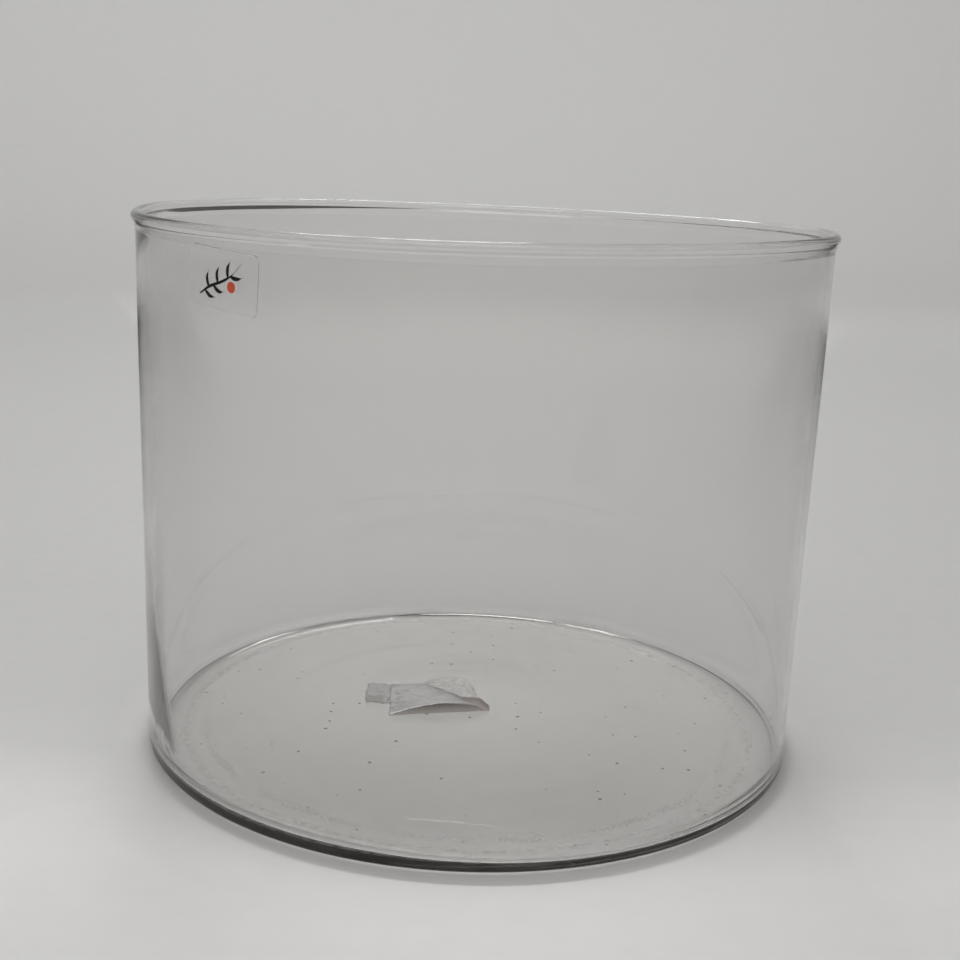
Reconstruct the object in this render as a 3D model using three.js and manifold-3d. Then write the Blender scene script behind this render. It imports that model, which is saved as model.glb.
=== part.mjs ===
// Deep crystallizing dish: a straight-walled cylindrical glass vessel with a fire-polished bead rim,
// a small rounded heel and a shallow punt under its base. A clear film label with a small printed mark is
// stuck to the outside below the rim, and the remains of a torn paper sticker lie on the floor inside.
// Millimetres, +Z up. The origin is on the axis, at the level of the ring that the dish stands on.
// The label is on the front left, so the front of the dish faces -Y.
import * as THREE from 'three';
import { mergeVertices } from 'three/addons/utils/BufferGeometryUtils.js';
import Module from 'manifold-3d';

const wasm = await Module();
wasm.setup();

// ---- driving dimensions of the glass ----
const WALL_RADIUS = 125;        // outside of the straight wall
const WALL_THICKNESS = 3;
const HEIGHT = 197;
const BEAD_OVERHANG = 1.4;      // how far the rim bead stands out past the wall
const BEAD_HALF_WIDTH = 2.1;
const BEAD_HALF_HEIGHT = 1.9;
const TAPER_HEIGHT = 3;         // where the wall swells into the bead
const HEEL_RADIUS = 2;          // outside rounding between the wall and the base
const FLOOR_FILLET = 5.8;       // inside rounding between the wall and the floor
const REST_RING_INNER = 111;    // the dish stands on a flat ring from here out to the heel
const PUNT_DEPTH = 2.6;         // rise of the underside at the middle
const FLOOR_EDGE_HEIGHT = 2.1;  // top of the floor where it meets the fillet
const FLOOR_CENTRE_HEIGHT = 5.2;
const FLOOR_FLAT_RADIUS = 52;   // the middle of the floor is level out to here
const SEGMENTS = 96;

// ---- driving dimensions of the label and the sticker ----
const CONTACT_GAP = 0.25;       // between two pieces that are stuck together
const FILM_SIZE = { width: 31, height: 18.5, thickness: 0.2 };
const FILM_CENTRE = { angle: -39.1, height: 180.6, tilt: -4 };   // degrees round from the front
const INK_THICKNESS = 0.15;
const PAPER_THICKNESS = 0.25;
const BUCKLE_HEIGHT = 4;        // how far the loose front edge of the sticker has lifted

const WALL_INNER_RADIUS = WALL_RADIUS - WALL_THICKNESS;
const BEAD_CENTRE_RADIUS = WALL_RADIUS + BEAD_OVERHANG - BEAD_HALF_WIDTH;
const FLAT_RING_OUTER = WALL_RADIUS - HEEL_RADIUS;
const FULL_TURN = 2 * Math.PI;

const lerp = THREE.MathUtils.lerp;

// ---- materials ----
const glass = new THREE.MeshStandardMaterial({
  color: 0xe6ebe9, roughness: 0.03, metalness: 0, transparent: true, opacity: 0.28,
});
const film = new THREE.MeshStandardMaterial({
  color: 0xf2f4f3, roughness: 0.18, metalness: 0, transparent: true, opacity: 0.2,
});
const blackInk = new THREE.MeshStandardMaterial({ color: 0x14181a, roughness: 0.45, metalness: 0 });
const redInk = new THREE.MeshStandardMaterial({ color: 0xd2492c, roughness: 0.45, metalness: 0 });
const paper = new THREE.MeshStandardMaterial({ color: 0xcfcecd, roughness: 0.9, metalness: 0 });
const agedPaper = new THREE.MeshStandardMaterial({ color: 0xaeaeac, roughness: 0.92, metalness: 0 });

// ---- helpers ----

// Points on an elliptical arc. Angles are in degrees, and the first and last points are included.
function arcPoints(centreX, centreY, radiusX, radiusY, fromDegrees, toDegrees, steps) {
  const points = [];
  for (let i = 0; i <= steps; i += 1) {
    const angle = THREE.MathUtils.degToRad(lerp(fromDegrees, toDegrees, i / steps));
    const x = centreX + radiusX * Math.cos(angle);
    const y = centreY + radiusY * Math.sin(angle);
    points.push(new THREE.Vector2(x, y));
  }
  return points;
}

// A closed thin sheet. surface(u, v) gives a point and the direction of the sheet's thickness there.
function sheetGeometry(surface, columns, rows, thickness) {
  const positions = [];
  const indices = [];
  const stride = columns + 1;
  const layerSize = stride * (rows + 1);
  for (const offset of [thickness, 0]) {
    for (let row = 0; row <= rows; row += 1) {
      for (let column = 0; column <= columns; column += 1) {
        const { point, normal } = surface(column / columns, row / rows);
        positions.push(...point.addScaledVector(normal, offset).toArray());
      }
    }
  }
  const vertex = (layer, column, row) => layer * layerSize + row * stride + column;
  const addQuad = (a, b, c, d) => indices.push(a, b, c, a, c, d);
  for (let row = 0; row < rows; row += 1) {
    for (let column = 0; column < columns; column += 1) {
      const corners = [[column, row], [column + 1, row], [column + 1, row + 1], [column, row + 1]];
      addQuad(...corners.map(([c, r]) => vertex(0, c, r)));
      addQuad(...corners.reverse().map(([c, r]) => vertex(1, c, r)));
    }
  }
  const edge = [];
  for (let column = 0; column < columns; column += 1) edge.push([column, 0]);
  for (let row = 0; row < rows; row += 1) edge.push([columns, row]);
  for (let column = columns; column > 0; column -= 1) edge.push([column, rows]);
  for (let row = rows; row > 0; row -= 1) edge.push([0, row]);
  edge.forEach(([column, row], i) => {
    const [nextColumn, nextRow] = edge[(i + 1) % edge.length];
    addQuad(
      vertex(1, column, row), vertex(1, nextColumn, nextRow),
      vertex(0, nextColumn, nextRow), vertex(0, column, row),
    );
  });
  const geometry = new THREE.BufferGeometry();
  geometry.setAttribute('position', new THREE.Float32BufferAttribute(positions, 3));
  geometry.setIndex(indices);
  geometry.computeVertexNormals();
  return geometry;
}

// A point on the outside of the wall: across is measured round the wall from the label's centre.
function onWall(across, up, radius) {
  const tilt = THREE.MathUtils.degToRad(FILM_CENTRE.tilt);
  const alongWall = across * Math.cos(tilt) - up * Math.sin(tilt);
  const height = FILM_CENTRE.height + across * Math.sin(tilt) + up * Math.cos(tilt);
  const angle = THREE.MathUtils.degToRad(FILM_CENTRE.angle) + alongWall / WALL_RADIUS;
  const normal = new THREE.Vector3(Math.sin(angle), -Math.cos(angle), 0);
  const point = normal.clone().multiplyScalar(radius).setZ(height);
  return { point, normal };
}

// The straight line of an outline from one corner to the next, taken a share of the way along.
function alongPolyline(corners, share) {
  const position = share * (corners.length - 1);
  const index = Math.min(Math.floor(position), corners.length - 2);
  return corners[index].clone().lerp(corners[index + 1], position - index);
}

// ---- glass ----

function dishProfile() {
  const points = [];
  const puntSteps = 8;
  for (let i = 0; i <= puntSteps; i += 1) {
    const share = i / puntSteps;
    points.push(new THREE.Vector2(REST_RING_INNER * share, PUNT_DEPTH * (1 - share * share)));
  }
  points.push(...arcPoints(FLAT_RING_OUTER, HEEL_RADIUS, HEEL_RADIUS, HEEL_RADIUS, -90, 0, 5));
  const beadBase = HEIGHT - 2 * BEAD_HALF_HEIGHT;
  points.push(new THREE.Vector2(WALL_RADIUS, HEIGHT / 2));
  points.push(new THREE.Vector2(WALL_RADIUS, beadBase - TAPER_HEIGHT));
  points.push(new THREE.Vector2(WALL_RADIUS + BEAD_OVERHANG * 0.3, beadBase));
  points.push(...arcPoints(
    BEAD_CENTRE_RADIUS, HEIGHT - BEAD_HALF_HEIGHT, BEAD_HALF_WIDTH, BEAD_HALF_HEIGHT, -45, 202.5, 11,
  ));
  points.push(new THREE.Vector2(WALL_INNER_RADIUS, beadBase - TAPER_HEIGHT));
  points.push(new THREE.Vector2(WALL_INNER_RADIUS, HEIGHT / 2));
  points.push(...arcPoints(
    WALL_INNER_RADIUS - FLOOR_FILLET, FLOOR_EDGE_HEIGHT + FLOOR_FILLET, FLOOR_FILLET, FLOOR_FILLET,
    0, -90, 6,
  ));
  const slopeSteps = 3;
  const filletStart = WALL_INNER_RADIUS - FLOOR_FILLET;
  for (let i = 1; i <= slopeSteps; i += 1) {
    const share = i / slopeSteps;
    const height = lerp(FLOOR_EDGE_HEIGHT, FLOOR_CENTRE_HEIGHT, Math.sin(share * Math.PI / 2));
    points.push(new THREE.Vector2(lerp(filletStart, FLOOR_FLAT_RADIUS, share), height));
  }
  points.push(new THREE.Vector2(0, FLOOR_CENTRE_HEIGHT));
  return points;
}

function makeDish() {
  const geometry = new THREE.LatheGeometry(dishProfile(), SEGMENTS, 0, FULL_TURN);
  geometry.rotateX(Math.PI / 2);
  return new THREE.Mesh(geometry, glass);
}

// ---- label ----

const FILM_RADIUS = WALL_RADIUS + CONTACT_GAP;
const INK_RADIUS = FILM_RADIUS + FILM_SIZE.thickness + CONTACT_GAP;

function makeFilm() {
  const surface = (u, v) => onWall((u - 0.5) * FILM_SIZE.width, (v - 0.5) * FILM_SIZE.height, FILM_RADIUS);
  return new THREE.Mesh(sheetGeometry(surface, 14, 1, FILM_SIZE.thickness), film);
}

// One printed stroke: a ribbon that follows a curve, widest in the middle and narrow at its ends.
function inkStroke(corners, widest, steps) {
  const curve = new THREE.SplineCurve(corners.map(([x, y]) => new THREE.Vector2(x, y)));
  const narrowest = 0.3;
  const surface = (u, v) => {
    const middle = curve.getPoint(u);
    const tangent = curve.getTangent(u);
    const width = narrowest + (widest - narrowest) * Math.sin(Math.PI * u);
    const side = (v - 0.5) * width;
    return onWall(middle.x - tangent.y * side, middle.y + tangent.x * side, INK_RADIUS);
  };
  return sheetGeometry(surface, steps, 1, INK_THICKNESS);
}

// The mark is a plain drawn sprig: a stem with leaves that grow from it, and one red berry beside it.
// Places are in millimetres across and up from the middle of the label.
const STEM = [[-10, -5.6], [-5, -2.6], [0, -0.6], [4.6, 2], [8.6, 6]];
const LEAVES = [
  [[-7.4, -4.1], [-5, -5.6], [-2.2, -5.6]],
  [[-3.6, -2], [-1, -3.6], [1.8, -3.4]],
  [[4, 1.6], [6.8, 1.2], [9.4, 2]],
  [[-5.6, -3], [-6.6, -0.4], [-5.8, 2.2]],
  [[-1.4, -1.2], [-2, 1.6], [-0.8, 4.2]],
  [[3, 1], [2.8, 3.8], [4, 6.4]],
];
const BERRY = { across: 4.6, up: -1.6, radius: 1.7 };

function toSolid(geometry) {
  const bare = geometry.clone();
  bare.deleteAttribute('normal');
  const merged = mergeVertices(bare);
  return new wasm.Manifold(new wasm.Mesh({
    numProp: 3,
    vertProperties: merged.getAttribute('position').array,
    triVerts: Uint32Array.from(merged.index.array),
  }));
}

function toGeometry(solid) {
  const mesh = solid.getMesh();
  const geometry = new THREE.BufferGeometry();
  geometry.setAttribute('position', new THREE.BufferAttribute(mesh.vertProperties, 3));
  geometry.setIndex(new THREE.BufferAttribute(mesh.triVerts, 1));
  geometry.computeVertexNormals();
  return geometry;
}

function makeSprig() {
  const strokes = [inkStroke(STEM, 0.8, 14), ...LEAVES.map((leaf) => inkStroke(leaf, 1, 6))];
  const sprig = strokes.map(toSolid).reduce((joined, stroke) => joined.add(stroke));
  return new THREE.Mesh(toGeometry(sprig), blackInk);
}

// A square sheet mapped to a disc, so that the berry is one closed round patch.
function makeBerry() {
  const surface = (u, v) => {
    const x = 2 * u - 1;
    const y = 2 * v - 1;
    const across = BERRY.across + BERRY.radius * x * Math.sqrt(1 - (y * y) / 2);
    const up = BERRY.up + BERRY.radius * y * Math.sqrt(1 - (x * x) / 2);
    return onWall(across, up, INK_RADIUS);
  };
  return new THREE.Mesh(sheetGeometry(surface, 6, 6, INK_THICKNESS), redInk);
}

// ---- torn sticker ----

const STICKER_BASE = FLOOR_CENTRE_HEIGHT + CONTACT_GAP;
const UP = new THREE.Vector3(0, 0, 1);

// A paper scrap between a front outline and a back outline, lying flat or lifted by lift(u, v).
function paperScrap(frontCorners, backCorners, columns, rows, lift) {
  const front = frontCorners.map(([x, y]) => new THREE.Vector2(x, y));
  const back = backCorners.map(([x, y]) => new THREE.Vector2(x, y));
  const surface = (u, v) => {
    const place = alongPolyline(front, u).lerp(alongPolyline(back, u), v);
    return { point: new THREE.Vector3(place.x, place.y, STICKER_BASE + lift(u, v)), normal: UP };
  };
  return sheetGeometry(surface, columns, rows, PAPER_THICKNESS);
}

const flat = () => 0;

// The front edge has come loose and buckled upwards; the back and both ends are still stuck down.
const buckle = (u, v) => BUCKLE_HEIGHT * Math.sin(Math.PI * u) * (1 - v) ** 2;

function makeStickerMain() {
  const front = [[-31, -13], [8.4, -4.6]];
  const back = [[-32, 18.8], [-19.7, 21.1], [-3.3, 5.8], [9, -1.9]];
  return new THREE.Mesh(paperScrap(front, back, 18, 6, buckle), paper);
}

function makeStickerLeftScrap() {
  const front = [[-41.2, -1.1], [-37.6, 0], [-32.8, -1.6]];
  const back = [[-41.7, 19.2], [-37.6, 18.7], [-33, 18.1]];
  return new THREE.Mesh(paperScrap(front, back, 6, 4, flat), agedPaper);
}

function makeStickerFibrePatch() {
  const front = [[-18, 21.5], [-9.2, 13.9], [-1.4, 6.4], [3.3, 4]];
  const back = [[-16.7, 24.4], [-10, 29.3], [-1.8, 28.4], [2.5, 15.7]];
  return new THREE.Mesh(paperScrap(front, back, 9, 3, flat), agedPaper);
}

// ---- assembly ----

function named(mesh, name) {
  mesh.name = name;
  return mesh;
}

const dish = new THREE.Group();
dish.add(named(makeDish(), 'glass_dish'));
dish.add(named(makeFilm(), 'clear_film_label'));
dish.add(named(makeSprig(), 'label_print_sprig'));
dish.add(named(makeBerry(), 'label_print_berry'));
dish.add(named(makeStickerMain(), 'torn_sticker'));
dish.add(named(makeStickerLeftScrap(), 'torn_sticker_left_scrap'));
dish.add(named(makeStickerFibrePatch(), 'torn_sticker_fibre_patch'));

export default dish;
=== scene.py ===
"""Deep crystallizing dish of clear glass, with a film label outside and a torn paper sticker on its floor.

Lengths in the helpers below are metres; MM turns the given millimetres into them.
"""

import math

import bpy
from mathutils import Matrix, Vector, noise


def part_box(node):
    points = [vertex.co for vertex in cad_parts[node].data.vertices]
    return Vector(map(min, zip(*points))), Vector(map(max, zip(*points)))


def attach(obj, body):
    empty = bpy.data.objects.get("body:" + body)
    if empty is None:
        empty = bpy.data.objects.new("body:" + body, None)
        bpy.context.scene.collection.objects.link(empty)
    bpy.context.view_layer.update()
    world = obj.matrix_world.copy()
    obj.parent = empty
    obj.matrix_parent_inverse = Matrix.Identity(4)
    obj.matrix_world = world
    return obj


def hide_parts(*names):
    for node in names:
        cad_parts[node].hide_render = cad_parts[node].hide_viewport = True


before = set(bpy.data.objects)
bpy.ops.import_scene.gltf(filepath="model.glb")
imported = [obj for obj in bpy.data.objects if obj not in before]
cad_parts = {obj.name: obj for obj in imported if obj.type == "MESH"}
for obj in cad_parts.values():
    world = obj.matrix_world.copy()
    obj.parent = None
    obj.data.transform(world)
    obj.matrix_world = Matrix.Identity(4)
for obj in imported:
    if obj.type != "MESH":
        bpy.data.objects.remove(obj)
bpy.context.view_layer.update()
MM = 0.001
TAU = 2 * math.pi

# ---- sizes read from the frame ----
dish_low, dish_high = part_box("glass_dish")
HEIGHT = dish_high.z
BEAD_RADIUS = (dish_high.x - dish_low.x) / 2
BEAD_OVERHANG = 1.4 * MM
WALL_RADIUS = BEAD_RADIUS - BEAD_OVERHANG
SHORT = 0.03 * MM  # the smooth glass stays this much inside the CAD box


# ---- small helpers ----


def lerp(a, b, t):
    return a + (b - a) * t


def smooth(t):
    t = min(max(t, 0.0), 1.0)
    return t * t * (3 - 2 * t)


def link(name, data):
    piece = bpy.data.objects.new(name, data)
    bpy.context.scene.collection.objects.link(piece)
    return piece


def mesh_from(name, verts, faces):
    mesh = bpy.data.meshes.new(name)
    mesh.from_pydata([tuple(v) for v in verts], [], faces)
    mesh.validate()
    for polygon in mesh.polygons:
        polygon.use_smooth = True
    return mesh


def add_material(piece, material):
    piece.data.materials.clear()
    piece.data.materials.append(material)


class Nodes:
    """Short ways to add and join the nodes of one material."""

    def __init__(self, name):
        self.material = bpy.data.materials.new(name)
        self.material.use_nodes = True
        self.tree = self.material.node_tree
        self.tree.nodes.clear()
        self.output = self.tree.nodes.new("ShaderNodeOutputMaterial")

    def add(self, kind, inputs=None, **settings):
        node = self.tree.nodes.new(kind)
        for key, value in settings.items():
            setattr(node, key, value)
        for key, value in (inputs or {}).items():
            self.set(node.inputs[key], value)
        return node

    def set(self, socket, value):
        if isinstance(value, bpy.types.NodeSocket):
            self.tree.links.new(value, socket)
        else:
            socket.default_value = value

    def maths(self, operation, *values, clamp=False):
        node = self.add("ShaderNodeMath", operation=operation, use_clamp=clamp)
        for socket, value in zip(node.inputs, values, strict=False):
            self.set(socket, value)
        return node.outputs[0]

    def noise(self, vector, scale, detail=4.0, roughness=0.5, distortion=0.0):
        inputs = {
            "Vector": vector,
            "Scale": scale,
            "Detail": detail,
            "Roughness": roughness,
            "Distortion": distortion,
        }
        return self.add("ShaderNodeTexNoise", inputs).outputs["Fac"]

    def ramp(self, factor, *stops):
        """stops are (position, grey or colour), from low to high."""
        node = self.add("ShaderNodeValToRGB", {"Fac": factor})
        elements = node.color_ramp.elements
        while len(elements) < len(stops):
            elements.new(0.5)
        for element, (position, value) in zip(elements, stops, strict=True):
            element.position = position
            colour = (value,) * 3 if isinstance(value, float) else value
            element.color = (*colour, 1)
        return node.outputs["Color"]

    def object_place(self):
        return self.add("ShaderNodeTexCoord").outputs["Object"]

    def separate(self, vector):
        return self.add("ShaderNodeSeparateXYZ", {"Vector": vector}).outputs

    def times(self, first, *others, clamp=False):
        for other in others:
            first = self.maths("MULTIPLY", first, other, clamp=clamp)
        return first

    def plus(self, a, b, clamp=False):
        return self.maths("ADD", a, b, clamp=clamp)

    def minus(self, a, b, clamp=False):
        return self.maths("SUBTRACT", a, b, clamp=clamp)

    def absolute(self, value):
        return self.maths("ABSOLUTE", value)

    def from_axis(self, x, y):
        """The distance from the dish's axis."""
        return self.maths("SQRT", self.plus(self.times(x, x), self.times(y, y)))

    def beside(self, x, y, start, end):
        """How far a point is to the left of the line from start to end, in millimetres."""
        across, up = end[0] - start[0], end[1] - start[1]
        size = math.hypot(across, up)
        a = self.times(self.minus(y, start[1] * MM), across / size / MM)
        b = self.times(self.minus(x, start[0] * MM), up / size / MM)
        return self.minus(a, b)

    def band(self, value, start, end):
        """0 at start and 1 at end, straight between them and level beyond; end may be below start."""
        inputs = {"Value": value, "From Min": start, "From Max": end}
        return self.add("ShaderNodeMapRange", inputs).outputs[0]

    def mixed(self, factor, a, b):
        """Colour a where the factor is 0 and colour b where it is 1."""
        node = self.add("ShaderNodeMix", data_type="RGBA")
        self.set(node.inputs["Factor"], factor)
        self.set(node.inputs["A"], a if isinstance(a, bpy.types.NodeSocket) else (*a, 1))
        self.set(node.inputs["B"], b if isinstance(b, bpy.types.NodeSocket) else (*b, 1))
        return node.outputs["Result"]

    def multiplied(self, a, b):
        """The product of two colours."""
        node = self.add("ShaderNodeMix", {"Factor": 1.0}, data_type="RGBA", blend_type="MULTIPLY")
        self.set(node.inputs["A"], a)
        self.set(node.inputs["B"], b)
        return node.outputs["Result"]

    def surface(self, shader):
        self.set(self.output.inputs["Surface"], shader.outputs[0])

    def surface_or_clear(self, shader, clear_share, clear_colour=(1, 1, 1, 1)):
        """The shader, replaced by plain see-through where clear_share is 1."""
        clear = self.add("ShaderNodeBsdfTransparent", {"Color": clear_colour})
        mix = self.add("ShaderNodeMixShader", {"Fac": clear_share})
        self.set(mix.inputs[1], shader.outputs[0])
        self.set(mix.inputs[2], clear.outputs[0])
        self.surface(mix)


# ---- camera ----

CAMERA_DISTANCE = 4.112 * WALL_RADIUS
CAMERA_HEIGHT = 1.778 * WALL_RADIUS
CAMERA_PITCH = math.radians(15.64)
CAMERA_YAW = math.radians(-0.08)
CAMERA_ROLL = math.radians(2.16)
LENS_MM = 51.47
CAMERA_SHIFT = (0.008, 0.052)


def make_camera():
    data = bpy.data.cameras.new("camera")
    data.lens = LENS_MM
    data.sensor_width = 36
    data.shift_x, data.shift_y = CAMERA_SHIFT
    data.clip_start = 0.01
    data.clip_end = 50
    camera = link("camera", data)
    forward = Vector(
        (
            math.sin(CAMERA_YAW) * math.cos(CAMERA_PITCH),
            math.cos(CAMERA_YAW) * math.cos(CAMERA_PITCH),
            -math.sin(CAMERA_PITCH),
        )
    )
    level = Vector((math.cos(CAMERA_YAW), -math.sin(CAMERA_YAW), 0))
    above = level.cross(forward)
    right = level * math.cos(CAMERA_ROLL) + above * math.sin(CAMERA_ROLL)
    up = above * math.cos(CAMERA_ROLL) - level * math.sin(CAMERA_ROLL)
    turn = Matrix((right, up, -forward)).transposed().to_4x4()
    place = Vector((0, -CAMERA_DISTANCE, CAMERA_HEIGHT))
    camera.matrix_world = Matrix.Translation(place) @ turn
    bpy.context.scene.camera = camera


# ---- studio ----

FLOOR_FLAT_RADIUS = 2.2
SWEEP_RADIUS = 1.4
SWEEP_TOP = 3.4
AIR_GAP = 0.15 * MM  # the floor is this much below the dish, so that light can pass under the glass
TONE_FRONT = -0.2  # from here backwards, over TONE_DEPTH, the floor has the FLOOR_TONES
TONE_DEPTH = 2.4
# painted light and shade: the floor's greys stand in for how the lamps light it
# (share of TONE_DEPTH, grey)
FLOOR_TONES = [
    (0.0, 0.74),
    (0.05, 0.68),
    (0.085, 0.6),
    (0.145, 0.575),
    (0.25, 0.6),
    (0.42, 0.65),
    (0.55, 0.73),
    (0.75, 0.8),
    (1.0, 0.76),
]
# painted light and shade as well: greyer at the sides and whiter at the front
SIDE_TONE = (0.7, 0.7, 0.695)
FRONT_TONE = (0.97, 0.965, 0.96)
PAINTED_HALO_LIGHT = (0.94, 0.935, 0.93)
PAINTED_FOOT_LIGHT = (0.77, 0.765, 0.76)
PAINTED_FRONT_SHADE = (0.58, 0.575, 0.57)
WORLD_COLOUR = (1.0, 0.98, 0.97)
WORLD_STRENGTH = 0.41
PANEL_ELEVATION = math.radians(42)
PANEL_DISTANCE = 3.0
PANEL_SIZE = (0.3, 0.3)
PANEL_SPREAD = 64
PANEL_POWER = 0.4
PANEL_BEARINGS = (0, 8, 17)  # degrees to the left of straight behind the dish
STRIP_SIZE = (3.4, 0.25)
STRIP_POWER = 7.0
WASH_SIZE = (3.0, 0.5)
WASH_POWER = 11.0
WASH_SPREAD = 118
FRONT_SIZE = (1.4, 1.0)
FRONT_POWER = 8.5
CLOTH_TURN = (-250, 70)  # degrees round the axis
CLOTH_INNER = 0.3
CLOTH_OUTER = 1.9
CLOTH_LIFT = 2 * MM


def sweep_profile():
    """The outline of the floor and of the wall it curves up into, as points (r, z)."""
    floor_steps, curve_steps = 12, 24
    profile = [(FLOOR_FLAT_RADIUS * i / floor_steps, 0) for i in range(floor_steps + 1)]
    for i in range(1, curve_steps + 1):
        angle = math.pi / 2 * i / curve_steps
        out = FLOOR_FLAT_RADIUS + SWEEP_RADIUS * math.sin(angle)
        profile.append((out, SWEEP_RADIUS * (1 - math.cos(angle))))
    profile.append((FLOOR_FLAT_RADIUS + SWEEP_RADIUS, SWEEP_TOP))
    return profile


def sweep_tone(nodes, place):
    """Painted light and shade on the floor: darker behind the dish and whiter in front, with a pale halo
    in front of the dish, painted light under it and painted shade under its front.
    """
    x, y, _ = nodes.separate(place)
    out = nodes.from_axis(x, y)
    depth = nodes.maths("DIVIDE", nodes.minus(y, TONE_FRONT), TONE_DEPTH, clamp=True)
    tone = nodes.ramp(depth, *FLOOR_TONES)
    tone = nodes.mixed(nodes.band(nodes.absolute(x), 1.5, 2.4), tone, SIDE_TONE)
    tone = nodes.mixed(nodes.band(y, -0.7, -1.0), tone, FRONT_TONE)
    # painted light: a pale halo on the floor in front of the dish
    halo = nodes.times(nodes.band(out, 0.26, 0.16), nodes.band(y, -0.04, -0.12))
    tone = nodes.mixed(nodes.times(halo, 0.72), tone, PAINTED_HALO_LIGHT)
    # painted light on the floor under the dish
    tone = nodes.mixed(nodes.band(out, 0.14, 0.115), tone, PAINTED_FOOT_LIGHT)
    # painted shade on the floor under the dish's front
    under = nodes.times(nodes.band(out, 0.118, 0.102), nodes.band(y, 0.02, -0.08))
    return nodes.mixed(nodes.times(under, 0.75), tone, PAINTED_FRONT_SHADE)


def make_sweep():
    """A round floor that curves up into a wall on every side, so that any camera sees one pale surface."""
    sweep = lathe("studio_sweep", sweep_profile(), 128)
    nodes = Nodes("studio_white")
    place = nodes.object_place()
    grain = nodes.ramp(nodes.noise(place, 90.0, 3.0), (0.3, (0.98, 0.98, 0.98)), (0.7, (1.0, 1.0, 0.995)))
    colour = nodes.multiplied(sweep_tone(nodes, place), grain)
    nodes.surface(nodes.add("ShaderNodeBsdfPrincipled", {"Base Color": colour, "Roughness": 0.55}))
    add_material(sweep, nodes.material)
    sweep.location.z = -AIR_GAP


def make_area(name, place, aim, size, power, spread=180):
    data = bpy.data.lights.new(name, "AREA")
    data.shape = "RECTANGLE"
    data.size, data.size_y = size
    data.energy = power
    data.spread = math.radians(spread)
    lamp = link(name, data)
    lamp.location = place
    lamp.rotation_mode = "QUATERNION"
    lamp.rotation_quaternion = (Vector(aim) - Vector(place)).to_track_quat("-Z", "Y")
    return lamp


def make_world():
    world = bpy.data.worlds.new("soft_room")
    bpy.context.scene.world = world
    world.use_nodes = True
    background = world.node_tree.nodes["Background"]
    background.inputs["Color"].default_value = (*WORLD_COLOUR, 1)
    background.inputs["Strength"].default_value = WORLD_STRENGTH


def make_studio():
    """Small panels and a strip lamp behind the dish, a wash on the background and a front softbox."""
    make_sweep()
    make_world()
    make_cloth()
    out = PANEL_DISTANCE * math.cos(PANEL_ELEVATION)
    up = PANEL_DISTANCE * math.sin(PANEL_ELEVATION)
    for bearing in PANEL_BEARINGS:
        turn = math.radians(bearing)
        place = (-out * math.sin(turn), out * math.cos(turn), up)
        make_area(f"rear_panel_{bearing}", place, (0, 0, 0), PANEL_SIZE, PANEL_POWER, PANEL_SPREAD)
    strip = make_area("rear_strip", (-0.2, out, up), (0, 0, 0), STRIP_SIZE, STRIP_POWER, PANEL_SPREAD)
    strip.visible_glossy = False  # it lights the room softly; only the panels show as highlights
    strip.visible_transmission = False
    make_area("background_wash", (-0.25, 1.5, 2.5), (-0.2, 3.1, 0.3), WASH_SIZE, WASH_POWER, WASH_SPREAD)
    make_area("front_softbox", (-0.2, -1.0, 2.0), (0, -0.35, 0), FRONT_SIZE, FRONT_POWER)


def make_cloth():
    """Dark cloth on the table, faded at its edges and seen only in the glass's own reflections."""
    steps = 60
    verts, faces = [], []
    for i in range(steps + 1):
        angle = math.radians(lerp(*CLOTH_TURN, i / steps))
        for out in (CLOTH_INNER, CLOTH_OUTER):
            verts.append((out * math.cos(angle), out * math.sin(angle), CLOTH_LIFT))
    for i in range(0, 2 * steps, 2):
        faces.append((i, i + 1, i + 3, i + 2))
    cloth = link("dark_cloth", mesh_from("dark_cloth", verts, faces))
    nodes = Nodes("dark_cloth")
    place = nodes.object_place()
    x, y, _ = nodes.separate(place)
    out = nodes.from_axis(x, y)
    colour = nodes.ramp(nodes.noise(place, 60.0), (0.3, 0.05), (0.7, 0.08))
    shader = nodes.add("ShaderNodeBsdfPrincipled", {"Base Color": colour, "Roughness": 0.9})
    shown = nodes.times(nodes.band(out, 0.32, 1.1), nodes.band(out, 1.85, 1.3), nodes.band(y, 1.7, 1.1))
    nodes.surface_or_clear(shader, nodes.minus(1.0, shown))
    add_material(cloth, nodes.material)
    cloth.visible_camera = False
    cloth.visible_diffuse = False
    cloth.visible_shadow = False
    cloth.visible_transmission = False


# ---- glass body ----

SEGMENTS = 256
WALL_THICKNESS = 3.0 * MM
BEAD_HALF_WIDTH = 2.1 * MM
BEAD_HALF_HEIGHT = 1.9 * MM
TAPER_HEIGHT = 3 * MM
HEEL_RADIUS = 2.0 * MM
FLOOR_FILLET = 5.8 * MM
REST_RING_INNER = 111 * MM
PUNT_DEPTH = 2.6 * MM
FLOOR_EDGE_HEIGHT = 2.1 * MM
FLOOR_CENTRE_HEIGHT = 5.2 * MM
FLOOR_FLAT_RADIUS_IN = 52 * MM
WALL_LEAN = 0.4 * MM  # the wall is this much thicker on the left and thinner on the right
RIM_WAVE = 0.62 * MM  # the rim is out of true by this much, with two highs and two lows
RIM_WAVE_PHASE = math.radians(53.5)
THIN_SHARE = 0.38  # how much thinner the rim of the base is on the right and right front
THIN_TURN = math.radians(-22)  # where it is thinnest
SIDE_FILLET = 0.1  # the floor's fillet at the sides, as a share of the one in front
BACK_FILLET = 0.7  # and at the back, round BACK_FILLET_TURN
BACK_FILLET_TURN = math.radians(80)


def arc(centre, radii, start, end, steps):
    """Points (r, z) on an elliptical arc, ends included, with angles in degrees."""
    points = []
    for i in range(steps + 1):
        angle = math.radians(lerp(start, end, i / steps))
        points.append((centre[0] + radii[0] * math.cos(angle), centre[1] + radii[1] * math.sin(angle)))
    return points


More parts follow.
